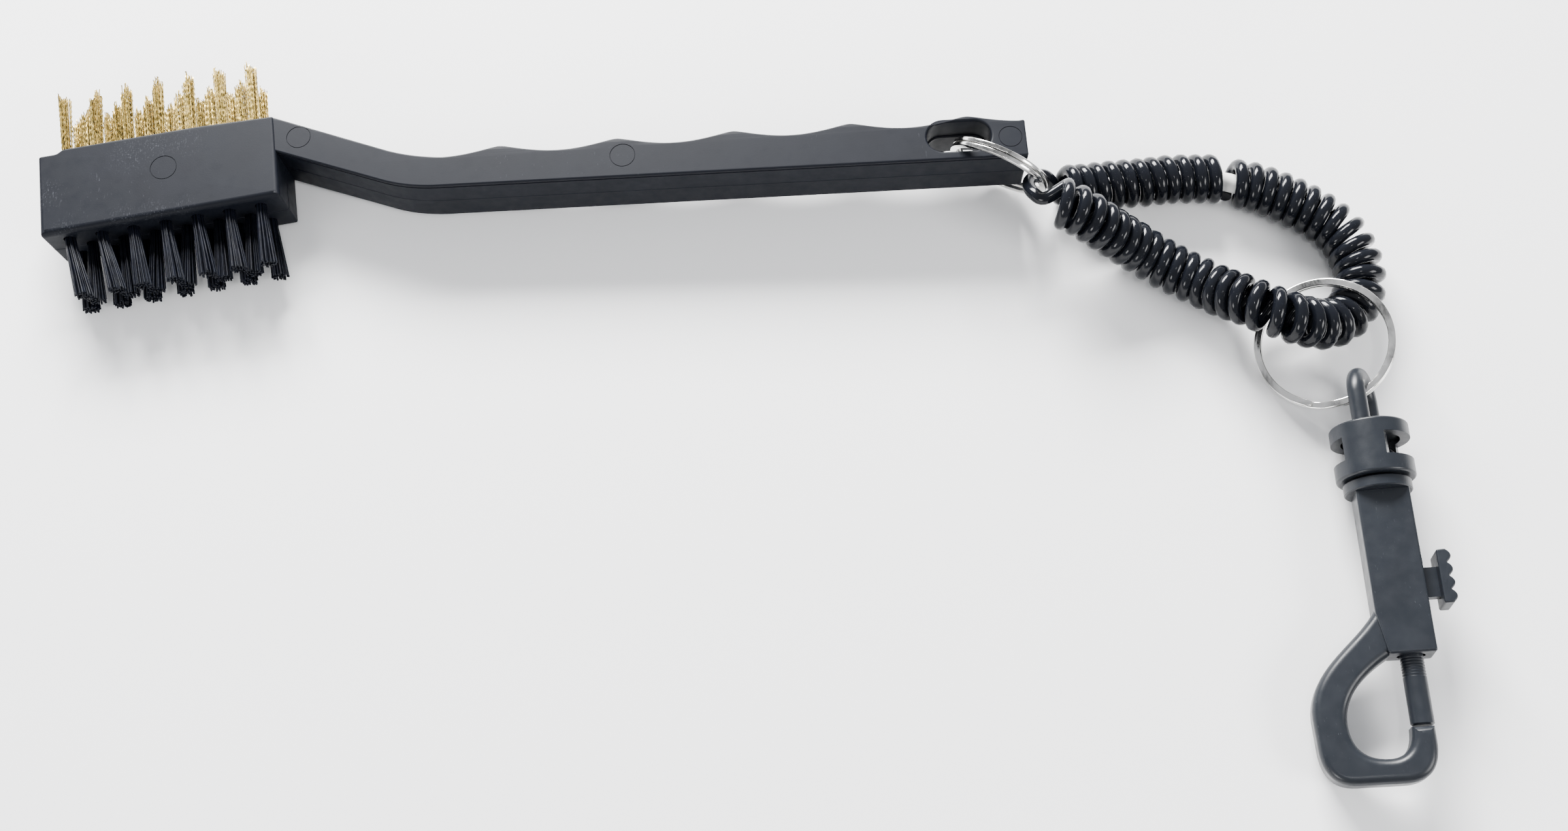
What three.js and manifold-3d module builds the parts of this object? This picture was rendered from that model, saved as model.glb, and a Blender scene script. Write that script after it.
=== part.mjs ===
// Club groove brush: a moulded handle and head with brass and nylon tufts, a split ring through
// the handle's slot, a closed loop of coiled cord, a second split ring, and a swivel snap hook.
// Millimetres, +Z up. The brush lies on its side along +X, with its handle's end propped on the
// split ring, and the lanyard lies beside it.
import * as THREE from "three";
import { mergeVertices } from "three/addons/utils/BufferGeometryUtils.js";
import Module from "manifold-3d";

// Driving dimensions. Places are measured from the head's far left corner.
const THICKNESS = 12; // of the head, across its broad faces
const STEP = 0.3; // by which each broad face of the handle sits below the head's
const TILT = 0.0189; // the handle's end stands on the ring, in radians
const EDGE = 0.8; // bevel on the moulding's edges
const HEAD = { length: 45, width: 17.4, angle: 0.134 };
const HANDLE = { end: 189, near: -11.15, nearEnd: -11.55, neck: 6, neckNear: -1.8 };
const GROOVE = { first: 88.5, pitch: 22.35, peak: -3.05, slope: 0.009, depth: 1.85 };
const SLOT = { x: 176.2, y: -6.55, length: 12.3, width: 6.4 };
const TUFT = { pitch: 6.05, first: 4.3 };
const ROWS = [
  { z: 9, count: 7, offset: 0 },
  { z: 6, count: 6, offset: 3.03 },
  { z: 3, count: 7, offset: 0 },
];
const BRISTLE = { root: 0.85, hole: 1.1, depth: 5 };
const BRASS = { kind: "brass", side: 1, length: 13.4, tip: 1.3 };
const NYLON = { kind: "nylon", side: -1, length: 12.6, tip: 1.7 };
const RING = { radial: 1.3, axial: 0.85, lift: 0.5, split: 0.21, steps: 96 };
const COIL = { outer: 9.2, wire: 2.4, sides: 12, bore: 2.2 };
const SWIVEL = { x: 245.55, y: -77.9, z: 7, yaw: -0.0359, tilt: -0.013 };
const ROLL = { eye: -0.576, hook: -0.235 }; // about the swivel's axis
const CAGE = { radius: 6.85, top: 11.3, bottom: 1.1, bore: 5.1, hole: 3.6, wall: 2 };
const WINDOW = { low: 4.2, high: 8.5, post: 3.6 };
const EYE = { limb: 1.6, spread: 4.6, top: 22.9 };
const BODY = { left: -4.3, right: 4.75, depth: 7, length: 30.7, taper: -23.5, corner: -3.1, bevel: 1 };
const CURL = { depth: 6, bevel: 1.2 };
const FLANGE = { radius: 5.85, low: -1.3, high: 0.7 };
const STUD = { neck: 3.1, head: 4.6, under: 3.5, rim: 4.9, crown: 2.6, top: 7.4 };
const BOLT = { x: 0.85, radius: 1.95, bore: 2.35, rear: -14.5, tip: -42.6, travel: 9.5 };
const SPRING = { radius: 1.6, wire: 0.4, turns: 6, rear: -1.9, steps: 72 };
const TAB = { near: -15.6, far: -20.9, half: 1, inner: 7.2, outer: 9.5, top: -13, low: -22.5 };
const PAD = { half: 3.2, bevel: 0.35, scallops: 4, scallop: 0.8 };
const GAP = 0.3; // clearance between pieces that meet
// The centre of the box round everything but the cord.
const ORIGIN = { x: 127.37, y: -55.5 };

// The route of the coiled cord's centre line, from the joiner round the far bend to the handle.
const LONG_ROUTE = [
  [229.5, -13.9, 4.65], [232.5, -14.6, 4.65], [235.4, -15.7, 4.65], [238.4, -17.2, 4.65],
  [241.6, -19.1, 4.65], [244.6, -21.2, 4.65], [247.2, -23.6, 4.65], [249.2, -26.2, 4.65],
  [250.4, -29.1, 4.65], [251, -32.1, 4.65], [251.1, -35.1, 4.65], [250.4, -38.3, 4.65],
  [248.6, -41.5, 4.7], [245.6, -44.2, 5.4], [241.7, -45.8, 7], [237.9, -45.9, 8.7],
  [235, -45.4, 9.7], [232.7, -44.6, 10.1], [229.8, -43.1, 9.9], [227.4, -41.1, 8.9],
  [225.2, -39.2, 7.4], [223.4, -37.6, 6.2], [220.5, -35, 4.9], [217.4, -32.9, 4.65],
  [214.2, -30.8, 4.7], [211, -28.7, 5.2], [207.8, -27.1, 6.6], [204.5, -25.9, 8.5],
  [201.1, -24.4, 10.6], [198, -22.9, 12.2], [195.9, -21.9, 12.9], [193.8, -21, 13.2],
];
// The same cord between the joiner and the handle's ring.
const SHORT_ROUTE = [
  [227.3, -12.9, 4.65], [223.4, -12.7, 4.65], [218, -12.5, 4.65], [212.4, -12.9, 4.65],
  [207, -13.1, 4.65], [202.5, -13.4, 4.65], [199, -13.8, 4.9], [196.8, -13.9, 5.2],
];
// The stretched turn that hooks round the handle's ring, from the long coil to the short one.
const HOOKED_ROUTE = [
  [192.9, -20.6, 13.3], [191.2, -19.7, 13], [189.4, -18.2, 12.2], [188.9, -15.9, 10.9],
  [189.6, -13.8, 9.7], [191.5, -12.4, 8.8], [193.8, -12.5, 7.2], [195.9, -13.7, 5.6],
];

const wasm = await Module();
wasm.setup();

const material = (color, roughness, metalness = 0) =>
  new THREE.MeshStandardMaterial({ color, roughness, metalness });
const MATERIALS = {
  plastic: material(0x2a2c33, 0.5),
  brass: material(0xc9a64a, 0.35, 1),
  nylon: material(0x10121a, 0.4),
  nickel: material(0xd8d8d4, 0.15, 1),
  cord: material(0x08080a, 0.12),
  joiner: material(0xe8e8e2, 0.4),
  hook: material(0x1a1c20, 0.35),
  steel: material(0xa8aaac, 0.3, 1),
};

function solidOf(geometry) {
  const bare = geometry.clone();
  bare.deleteAttribute("normal");
  bare.deleteAttribute("uv");
  const merged = mergeVertices(bare, 1e-4);
  return new wasm.Manifold(
    new wasm.Mesh({
      numProp: 3,
      vertProperties: merged.attributes.position.array,
      triVerts: new Uint32Array(merged.index.array),
    }),
  );
}

function geometryOf(solid) {
  const { vertProperties, triVerts, numProp } = solid.getMesh();
  const geometry = new THREE.BufferGeometry();
  const positions = new THREE.InterleavedBuffer(new Float32Array(vertProperties), numProp);
  geometry.setAttribute("position", new THREE.InterleavedBufferAttribute(positions, 3, 0));
  geometry.setIndex(new THREE.BufferAttribute(new Uint32Array(triVerts), 1));
  const flat = geometry.toNonIndexed();
  flat.computeVertexNormals();
  return flat;
}

function meshOf(name, shape, kind) {
  const geometry = shape.isBufferGeometry ? shape : geometryOf(shape);
  const mesh = new THREE.Mesh(geometry, kind);
  mesh.name = name;
  return mesh;
}

// A plan outline extruded between two heights, with bevelled edges inside its size.
function slab(shape, low, high, bevel = 0, curveSegments = 6) {
  const geometry = new THREE.ExtrudeGeometry(shape, {
    depth: high - low - 2 * bevel,
    bevelEnabled: bevel > 0,
    bevelThickness: bevel,
    bevelSize: bevel,
    bevelOffset: -bevel,
    bevelSegments: 1,
    curveSegments,
  });
  return geometry.translate(0, 0, low + bevel);
}

// A shaft along Y from y0 to y1.
function shaft(radius, y0, y1, x = 0, sides = 24) {
  const geometry = new THREE.CylinderGeometry(radius, radius, Math.abs(y1 - y0), sides);
  return geometry.translate(x, (y0 + y1) / 2, 0);
}

function boxFrom(low, high) {
  const size = high.map((v, i) => v - low[i]);
  const centre = high.map((v, i) => (v + low[i]) / 2);
  return new THREE.BoxGeometry(...size).translate(...centre);
}

function circleShape(radius, sides) {
  const shape = new THREE.Shape();
  for (let i = 0; i < sides; i++) {
    const turn = (2 * Math.PI * i) / sides;
    const point = [radius * Math.cos(turn), radius * Math.sin(turn)];
    if (i === 0) shape.moveTo(...point);
    else shape.lineTo(...point);
  }
  return shape;
}

function tube(points, radius, sides, steps) {
  const path = new THREE.CatmullRomCurve3(points.map((p) => new THREE.Vector3(...p)));
  const shape = circleShape(radius, sides);
  return new THREE.ExtrudeGeometry(shape, { steps, extrudePath: path, bevelEnabled: false });
}

function headOutline() {
  const { length, width } = HEAD;
  return new THREE.Shape()
    .moveTo(0, -width)
    .lineTo(length, -width)
    .lineTo(length, 0.1)
    .lineTo(30, 0.7)
    .lineTo(4.6, 0.7)
    .lineTo(3.4, -0.1)
    .lineTo(0, -0.1);
}

// The far edge's height over the grip: arches between rounded peaks.
function gripEdge(x) {
  const wave = Math.sin((Math.PI * (x - GROOVE.first)) / GROOVE.pitch);
  const arch = Math.sqrt(wave * wave + 0.015) - Math.sqrt(0.015);
  return GROOVE.peak + GROOVE.slope * (x - GROOVE.first) - GROOVE.depth * arch;
}

function handleOutline() {
  const { end, near, nearEnd, neck, neckNear } = HANDLE;
  const root = HEAD.length - 3;
  const shape = new THREE.Shape()
    .moveTo(root, -0.3)
    .lineTo(46.1, neckNear)
    .lineTo(66, -9.25)
    .quadraticCurveTo(71, near, 77, near)
    .lineTo(end - 0.6, nearEnd)
    .lineTo(end, nearEnd + 0.6)
    .lineTo(end, -4.2)
    .lineTo(end - 0.5, -3.6);
  const samples = 60;
  const start = GROOVE.first - GROOVE.pitch / 2;
  for (let i = 1; i <= samples; i++) {
    const x = end - 0.6 - ((end - 0.6 - start) * i) / samples;
    shape.lineTo(x, gripEdge(x));
  }
  return shape.quadraticCurveTo(71, -4.3, 66, -2.3).lineTo(44.6, neck).lineTo(root, neck);
}

function slotOutline() {
  const half = (SLOT.length - SLOT.width) / 2;
  const radius = SLOT.width / 2;
  return new THREE.Shape()
    .absarc(SLOT.x + half, SLOT.y, radius, -Math.PI / 2, Math.PI / 2)
    .absarc(SLOT.x - half, SLOT.y, radius, Math.PI / 2, (3 * Math.PI) / 2);
}

// The seats of the tufts in the head's own frame: side +1 is brass, -1 is nylon.
function tuftSeats(side) {
  return ROWS.flatMap(({ z, count, offset }) =>
    Array.from({ length: count }, (_, i) => ({
      x: TUFT.first + offset + TUFT.pitch * i,
      y: side > 0 ? 0 : -HEAD.width,
      z,
    })),
  );
}

function headFrame(geometry) {
  return geometry.rotateZ(HEAD.angle);
}

function mouldingSolid() {
  const head = solidOf(headFrame(slab(headOutline(), 0, THICKNESS, EDGE)));
  const handle = solidOf(slab(handleOutline(), STEP, THICKNESS - STEP, EDGE, 8));
  const slot = solidOf(slab(slotOutline(), -1, THICKNESS + 1, 0, 12));
  let moulding = head.add(handle).subtract(slot);
  for (const side of [1, -1]) {
    for (const seat of tuftSeats(side)) {
      const hole = shaft(BRISTLE.hole, -BRISTLE.depth * side, side, 0, 10);
      hole.translate(seat.x, seat.y, seat.z);
      moulding = moulding.subtract(solidOf(headFrame(hole)));
    }
  }
  return moulding;
}

// A bundle of filaments, folded over its anchor in the hole and flaring to its tips.
function tuftGeometry(seat, { side, length, tip }) {
  const inside = BRISTLE.depth - GAP;
  const profile = [
    [0, -inside],
    [BRISTLE.root, -inside],
    [BRISTLE.root, 0.4],
    [BRISTLE.root * 1.35, length * 0.45],
    [tip, length],
    [0, length + 0.3],
  ].map(([r, y]) => new THREE.Vector2(r, y));
  const bundle = new THREE.LatheGeometry(profile, 9);
  if (side < 0) bundle.rotateX(Math.PI);
  return headFrame(bundle.translate(seat.x, seat.y, seat.z));
}

function brush() {
  const group = new THREE.Group();
  group.add(meshOf("handle_and_head", mouldingSolid(), MATERIALS.plastic));
  for (const bristle of [BRASS, NYLON]) {
    tuftSeats(bristle.side).forEach((seat, i) => {
      const name = `${bristle.kind}_tuft_${String(i + 1).padStart(2, "0")}`;
      group.add(meshOf(name, tuftGeometry(seat, bristle), MATERIALS[bristle.kind]));
    });
  }
  group.rotation.y = -TILT;
  return group;
}

// Flat wire wound twice round, with its two ends facing each other across the crossover.
class SplitRingCurve extends THREE.Curve {
  constructor(radius) {
    super();
    this.radius = radius;
  }

  getPoint(t, target = new THREE.Vector3()) {
    const turn = RING.split + t * (4 * Math.PI - 2 * RING.split);
    const across = THREE.MathUtils.smoothstep(
      turn,
      2 * Math.PI - RING.split,
      2 * Math.PI + RING.split,
    );
    return target.set(
      this.radius * Math.cos(turn),
      this.radius * Math.sin(turn),
      RING.lift * (2 * across - 1),
    );
  }
}

function splitRing(name, radius, centre, normal, opening) {
  const section = new THREE.Shape()
    .moveTo(-RING.axial / 2, -RING.radial / 2)
    .lineTo(RING.axial / 2, -RING.radial / 2)
    .lineTo(RING.axial / 2, RING.radial / 2)
    .lineTo(-RING.axial / 2, RING.radial / 2);
  const wire = new THREE.ExtrudeGeometry(section, {
    steps: RING.steps,
    extrudePath: new SplitRingCurve(radius),
    bevelEnabled: false,
  });
  const ring = meshOf(name, wire.rotateZ(opening), MATERIALS.nickel);
  ring.quaternion.setFromUnitVectors(
    new THREE.Vector3(0, 0, 1),
    new THREE.Vector3(...normal).normalize(),
  );
  ring.position.set(...centre);
  return ring;
}

function coiledCord() {
  const group = new THREE.Group();
  const radius = COIL.outer / 2;
  const [end, start] = [SHORT_ROUTE[0], LONG_ROUTE[0]];
  const plug = [SHORT_ROUTE[1], end, start, LONG_ROUTE[1]];
  const bore = solidOf(tube(plug, COIL.bore, 10, 16));
  const long = solidOf(tube(LONG_ROUTE, radius, COIL.sides, 40)).subtract(bore);
  const short = solidOf(tube(SHORT_ROUTE, radius, COIL.sides, 14)).subtract(bore);
  const hooked = tube(HOOKED_ROUTE, COIL.wire / 2, 8, 22);
  const middle = [(end[0] + start[0]) / 2, (end[1] + start[1]) / 2, end[2]];
  const peg = [[224.6, -12.75, 4.65], middle, [231.4, -14.35, 4.65]];
  group.add(
    meshOf("coil_long", long, MATERIALS.cord),
    meshOf("coil_short", short, MATERIALS.cord),
    meshOf("cord_hooked_turn", hooked, MATERIALS.cord),
    meshOf("coil_joiner", tube(peg, COIL.bore - 0.4, 10, 8), MATERIALS.joiner),
  );
  return group;
}

function swivelEye() {
  const { radius, top, bottom, bore, hole, wall } = CAGE;
  const shoulder = EYE.top - EYE.limb - EYE.spread;
  const arch = [];
  for (let i = 0; i <= 12; i++) {
    const turn = (Math.PI * i) / 12;
    const y = shoulder + EYE.spread * Math.sin(turn);
    arch.push([0, y, EYE.spread * Math.cos(turn)]);
  }
  const limbs = [[0, top - wall / 2, EYE.spread], ...arch, [0, top - wall / 2, -EYE.spread]];
  const { low, high, post } = WINDOW;
  return solidOf(shaft(radius, bottom, top, 0, 32))
    .add(solidOf(tube(limbs, EYE.limb, 10, 28)))
    .subtract(solidOf(shaft(bore, bottom + wall, top - wall)))
    .subtract(solidOf(shaft(hole, bottom - wall, bottom + 2 * wall)))
    .subtract(solidOf(boxFrom([post, low, -radius], [radius + 1, high, radius])))
    .subtract(solidOf(boxFrom([-radius - 1, low, -radius], [-post, high, radius])));
}

function hookOutline() {
  return new THREE.Shape()
    .moveTo(-3.8, -21.8)
    .bezierCurveTo(-6.5, -27.84, -16.98, -31.79, -16.92, -40.94)
    .lineTo(-16.7, -46.5)
    .quadraticCurveTo(-16.28, -52.34, -11.1, -52.29)
    .lineTo(-3.65, -52.22)
    .quadraticCurveTo(2.43, -52.16, 2.43, -45.43)
    .lineTo(2.43, -42.94)
    .lineTo(-1.26, -42.95)
    .quadraticCurveTo(-1.44, -48.03, -5.51, -48.05)
    .quadraticCurveTo(-11.31, -48.09, -11.34, -41.95)
    .quadraticCurveTo(-11.17, -35.89, -3.22, -31)
    .lineTo(0, -28.42)
    .lineTo(0, -21.8);
}

function bodyOutline() {
  const { left, right, length, taper, corner } = BODY;
  return new THREE.Shape()
    .moveTo(left, -1)
    .lineTo(left, taper)
    .lineTo(corner, -length)
    .lineTo(right, -length)
    .lineTo(right, -1);
}

function hookBody() {
  const half = BODY.depth / 2;
  const stud = [
    [0, FLANGE.low],
    [FLANGE.radius, FLANGE.low],
    [FLANGE.radius, FLANGE.high],
    [STUD.neck, FLANGE.high],
    [STUD.neck, STUD.under],
    [STUD.head, STUD.under],
    [STUD.head, STUD.rim],
    [STUD.crown, STUD.top],
    [0, STUD.top],
  ].map(([r, y]) => new THREE.Vector2(r, y));
  const clearTab = TAB.near + BOLT.travel + GAP;
  return solidOf(slab(hookOutline(), -CURL.depth / 2, CURL.depth / 2, CURL.bevel, 10))
    .add(solidOf(slab(bodyOutline(), -half, half, BODY.bevel)))
    .add(solidOf(new THREE.LatheGeometry(stud, 28)))
    .subtract(solidOf(shaft(BOLT.bore, -BODY.length - 1, SPRING.rear + GAP, BOLT.x, 20)))
    .subtract(solidOf(boxFrom([0, TAB.far - GAP, -TAB.half - GAP], [9, clearTab, TAB.half + GAP])));
}

function boltSolid() {
  const pitch = (TAB.top - TAB.low) / PAD.scallops;
  const [valley, crest] = [TAB.outer - PAD.scallop, TAB.outer + PAD.scallop];
  const pad = new THREE.Shape().moveTo(TAB.inner, TAB.low).lineTo(valley, TAB.low);
  for (let i = 0; i < PAD.scallops; i++) {
    const y = TAB.low + pitch * i;
    pad.quadraticCurveTo(crest, y + pitch / 2, valley, y + pitch);
  }
  pad.lineTo(TAB.inner, TAB.top);
  return solidOf(shaft(BOLT.radius, BOLT.rear, BOLT.tip, BOLT.x, 16))
    .add(solidOf(boxFrom([BOLT.x, TAB.far, -TAB.half], [TAB.inner + 0.5, TAB.near, TAB.half])))
    .add(solidOf(slab(pad, -PAD.half, PAD.half, PAD.bevel, 4)));
}

class SpringCurve extends THREE.Curve {
  getPoint(t, target = new THREE.Vector3()) {
    const turn = 2 * Math.PI * SPRING.turns * t;
    const first = SPRING.rear - SPRING.wire;
    const last = BOLT.rear + 3 * GAP + SPRING.wire;
    return target.set(
      BOLT.x + SPRING.radius * Math.cos(turn),
      first + (last - first) * t,
      SPRING.radius * Math.sin(turn),
    );
  }
}

function snapHook() {
  const spring = new THREE.ExtrudeGeometry(circleShape(SPRING.wire / 2, 6), {
    steps: SPRING.steps,
    extrudePath: new SpringCurve(),
    bevelEnabled: false,
  });
  const eye = meshOf("swivel_eye", swivelEye(), MATERIALS.hook);
  eye.rotation.y = ROLL.eye;
  const hook = new THREE.Group();
  hook.add(
    meshOf("hook_body", hookBody(), MATERIALS.hook),
    meshOf("gate_bolt", boltSolid(), MATERIALS.hook),
    meshOf("bolt_spring", spring, MATERIALS.steel),
  );
  hook.rotation.y = ROLL.hook;
  const group = new THREE.Group();
  group.add(eye, hook);
  group.rotation.set(SWIVEL.tilt, 0, SWIVEL.yaw, "ZXY");
  group.position.set(SWIVEL.x, SWIVEL.y, SWIVEL.z);
  return group;
}

const group = new THREE.Group();
group.add(
  brush(),
  splitRing("handle_ring", 9.35, [183.81, -10.95, 10.45], [0.479, 0.839, 0.258], 1.9),
  coiledCord(),
  splitRing("hook_ring", 11.85, [241, -49.5, 6.9], [-0.416, -0.073, 0.906], -1.7),
  snapHook(),
);
group.position.set(-ORIGIN.x, -ORIGIN.y, 0);
export default group;
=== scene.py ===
"""Club groove brush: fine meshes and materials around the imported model.

Sizes are in millimetres in the brush's drawing frame, which starts at the head's far left corner,
until metres() or a frame matrix takes them into the model's own frame. The lights, the floor and
the scuffs are in metres in the model's frame.
"""

import math
import random

import bmesh
import bpy
from mathutils import Matrix, Vector
from mathutils.geometry import tessellate_polygon


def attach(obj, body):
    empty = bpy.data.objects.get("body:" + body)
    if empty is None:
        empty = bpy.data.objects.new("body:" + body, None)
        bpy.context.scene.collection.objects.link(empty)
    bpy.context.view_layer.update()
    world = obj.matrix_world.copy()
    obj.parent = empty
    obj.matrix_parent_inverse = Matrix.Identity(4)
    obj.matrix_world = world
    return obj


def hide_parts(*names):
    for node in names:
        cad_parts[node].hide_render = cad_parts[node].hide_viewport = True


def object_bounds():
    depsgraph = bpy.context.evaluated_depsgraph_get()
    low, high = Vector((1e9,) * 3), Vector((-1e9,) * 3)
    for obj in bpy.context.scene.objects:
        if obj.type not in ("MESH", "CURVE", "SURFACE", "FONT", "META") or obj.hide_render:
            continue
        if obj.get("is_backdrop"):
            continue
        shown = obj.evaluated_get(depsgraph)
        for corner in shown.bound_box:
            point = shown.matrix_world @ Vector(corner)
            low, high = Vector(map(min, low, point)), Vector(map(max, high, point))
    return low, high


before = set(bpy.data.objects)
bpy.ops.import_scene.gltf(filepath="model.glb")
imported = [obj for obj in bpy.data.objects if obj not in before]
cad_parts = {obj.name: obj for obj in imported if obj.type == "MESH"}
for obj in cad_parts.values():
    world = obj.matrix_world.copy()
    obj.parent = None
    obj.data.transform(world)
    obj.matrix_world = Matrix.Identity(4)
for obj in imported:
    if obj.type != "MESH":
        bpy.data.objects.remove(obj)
cad_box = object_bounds()

MM = 0.001
ORIGIN = Vector((127.37, -55.5, 0))
TILT = 0.0189
HEAD = {"length": 45, "width": 17.4, "thick": 12, "angle": 0.134}
SWIVEL = {"at": (245.55, -77.9, 7), "yaw": -0.0359, "tilt": -0.013, "eye": -0.576, "hook": -0.235}


def metres(point):
    """A point of the drawing frame in the model's own frame."""
    return (Vector(point) - ORIGIN) * MM


# The drawing, the brush tilted on its ring, its head, the swivel's axis, and the hook and the eye
# turned about that axis, each as a matrix into the model's own frame.
MOVED = Matrix.Translation(-ORIGIN * MM) @ Matrix.Scale(MM, 4)
BRUSH = MOVED @ Matrix.Rotation(-TILT, 4, "Y")
HEAD_FRAME = BRUSH @ Matrix.Rotation(HEAD["angle"], 4, "Z")
YAWED = MOVED @ Matrix.Translation(SWIVEL["at"]) @ Matrix.Rotation(SWIVEL["yaw"], 4, "Z")
AXIS = YAWED @ Matrix.Rotation(SWIVEL["tilt"], 4, "X")
HOOK = AXIS @ Matrix.Rotation(SWIVEL["hook"], 4, "Y")
EYE = AXIS @ Matrix.Rotation(SWIVEL["eye"], 4, "Y")


# ---------------------------------------------------------------- camera, light and floor
CAMERA = {"at": (134.80, -154.66, 264.29), "pitch": 20.5, "yaw": -3, "sensor": 36, "lens": 34.5}
LIGHTS = (  # name, place, target, size and power in watts
    ("key", (-0.15, 0.75, 0.42), (0, 0, 0), (0.55, 0.30), 50.0),
    ("fill", (0.55, -0.30, 0.40), (0.05, 0, 0), (0.30, 0.25), 4.0),
    ("front", (-0.45, -0.55, 0.30), (0, 0, 0), (0.30, 0.20), 3.0),
    ("glint", (0.02, -0.16, 0.55), (0.10, 0, 0), (0.03, 0.03), 0.35),
)
SKY = {"colour": (0.93, 0.95, 1, 1), "strength": 0.68}
FLOOR = {"half": 3, "level": -0.00002, "colour": (0.93, 0.93, 0.93), "roughness": 0.9}


def add_camera():
    data = bpy.data.cameras.new("camera")
    data.sensor_width = CAMERA["sensor"]
    data.lens = CAMERA["lens"]
    data.clip_start = 0.01
    camera = bpy.data.objects.new("camera", data)
    camera.location = metres(CAMERA["at"])
    camera.rotation_euler = (math.radians(CAMERA["pitch"]), 0, math.radians(CAMERA["yaw"]))
    bpy.context.collection.objects.link(camera)
    bpy.context.scene.camera = camera


def add_light(name, at, target, size, power):
    data = bpy.data.lights.new(name, "AREA")
    data.shape = "RECTANGLE"
    data.size, data.size_y = size
    data.energy = power
    light = bpy.data.objects.new(name, data)
    light.location = at
    aim = Vector(target) - Vector(at)
    light.rotation_euler = aim.to_track_quat("-Z", "Y").to_euler()
    bpy.context.collection.objects.link(light)


def add_studio():
    for light in LIGHTS:
        add_light(*light)
    world = bpy.data.worlds.new("world")
    world.use_nodes = True
    background = world.node_tree.nodes["Background"]
    background.inputs["Color"].default_value = SKY["colour"]
    background.inputs["Strength"].default_value = SKY["strength"]
    bpy.context.scene.world = world


def add_floor():
    mesh = bpy.data.meshes.new("floor")
    half = FLOOR["half"]
    corners = [(-half, -half), (half, -half), (half, half), (-half, half)]
    mesh.from_pydata([(x, y, FLOOR["level"]) for x, y in corners], [], [(0, 1, 2, 3)])
    floor = bpy.data.objects.new("floor", mesh)
    bpy.context.collection.objects.link(floor)
    paint = Paint("floor_paper", FLOOR["colour"], FLOOR["roughness"], Specular_IOR_Level=0.1)
    paint.bump(paint.noise(900), 0.05, 0.0002)
    mesh.materials.append(paint.material)
    floor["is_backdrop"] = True


# ---------------------------------------------------------------- materials
HAIRS = ((5200, 900, 0.9, 0.71), (4300, 800, -0.7, 0.72))  # across, along, turn and cut
STREAKS = (6500, 900, -0.6, 0.52)
BRASS_TONES = ((0.58, 0.43, 0.14, 1), (0.16, 0.115, 0.03, 1))
NYLON_TONES = ((0.0022, 0.0028, 0.0052, 1), (0.0050, 0.0062, 0.0110, 1))
NICKEL_BRIGHT = (0.86, 0.85, 0.82, 1)
NICKEL_TONES = ((0.50, 0.49, 0.47, 1), (0.22, 0.22, 0.21, 1))
CORD_TONES = ((0.003, 0.0035, 0.005, 1), (0.006, 0.007, 0.010, 1))
DUST = (0.22, 0.24, 0.27, 1)
JOINER_TONES = ((0.84, 0.84, 0.81, 1), (0.76, 0.76, 0.72, 1))


class Paint:
    """A Principled material and the nodes that vary it over the surface. Noise scales are cells
    per metre, and bump distances are in metres."""

    def __init__(self, name, colour, roughness, metallic=0.0, **sockets):
        self.material = bpy.data.materials.new(name)
        self.material.use_nodes = True
        self.tree = self.material.node_tree
        self.shader = self.tree.nodes["Principled BSDF"]
        self.set(self.shader, "Base Color", (*colour, 1))
        self.set(self.shader, "Roughness", roughness)
        self.set(self.shader, "Metallic", metallic)
        for socket, value in sockets.items():
            self.set(self.shader, socket.replace("_", " "), value)
        self.place = self.add("ShaderNodeTexCoord").outputs["Object"]

    def set(self, node, socket, value):
        node.inputs[socket].default_value = value

    def add(self, kind, inputs=None, **values):
        node = self.tree.nodes.new(kind)
        for key, value in values.items():
            setattr(node, key, value)
        for socket, value in (inputs or {}).items():
            if isinstance(value, bpy.types.NodeSocket):
                self.tree.links.new(value, node.inputs[socket])
            else:
                node.inputs[socket].default_value = value
        return node

    def math(self, operation, a, b=0.0, clamp=False):
        node = self.add("ShaderNodeMath", {0: a, 1: b}, operation=operation, use_clamp=clamp)
        return node.outputs[0]

    def stretched(self, scale, turn=(0, 0, 0)):
        inputs = {"Vector": self.place, "Scale": scale, "Rotation": turn}
        return self.add("ShaderNodeMapping", inputs).outputs[0]

    def noise(self, scale, detail=3.0, where=None):
        inputs = {"Vector": where or self.place, "Scale": scale, "Detail": detail}
        return self.add("ShaderNodeTexNoise", inputs).outputs["Fac"]

    def between(self, value, low, high, to_low=0.0, to_high=1.0):
        inputs = {0: value, 1: low, 2: high, 3: to_low, 4: to_high}
        return self.add("ShaderNodeMapRange", inputs, clamp=True).outputs[0]

    def mix(self, amount, a, b):
        colours = {0: amount, 6: a, 7: b}
        return self.add("ShaderNodeMix", colours, data_type="RGBA").outputs[2]

    def colour(self, value):
        self.tree.links.new(value, self.shader.inputs["Base Color"])

    def roughness(self, value):
        self.tree.links.new(value, self.shader.inputs["Roughness"])

    def bump(self, height, strength, distance):
        inputs = {"Height": height, "Strength": strength, "Distance": distance}
        bump = self.add("ShaderNodeBump", inputs)
        self.tree.links.new(bump.outputs[0], self.shader.inputs["Normal"])

    def near(self, point, reach):
        """1 at a point in the model's frame, fading to 0 at reach, in metres."""
        away = self.add("ShaderNodeVectorMath", {0: self.place, 1: point}, operation="DISTANCE")
        return self.between(away.outputs["Value"], reach * 0.2, reach, 1.0, 0.0)

    def scratches(self, across, along, turn, cut):
        """Fine lines where stretched noise passes a cut."""
        lines = self.noise(1.0, 2.0, self.stretched((across, along, across), (0, 0, turn)))
        return self.between(lines, cut, cut + 0.04)


def hair_scratches(paint):
    """Hair scratches in two directions, in patches."""
    lines = paint.math("MAXIMUM", *(paint.scratches(*hair) for hair in HAIRS))
    patches = paint.between(paint.noise(55, 2.0), 0.5, 0.68)
    return paint.math("MULTIPLY", lines, patches)


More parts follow.
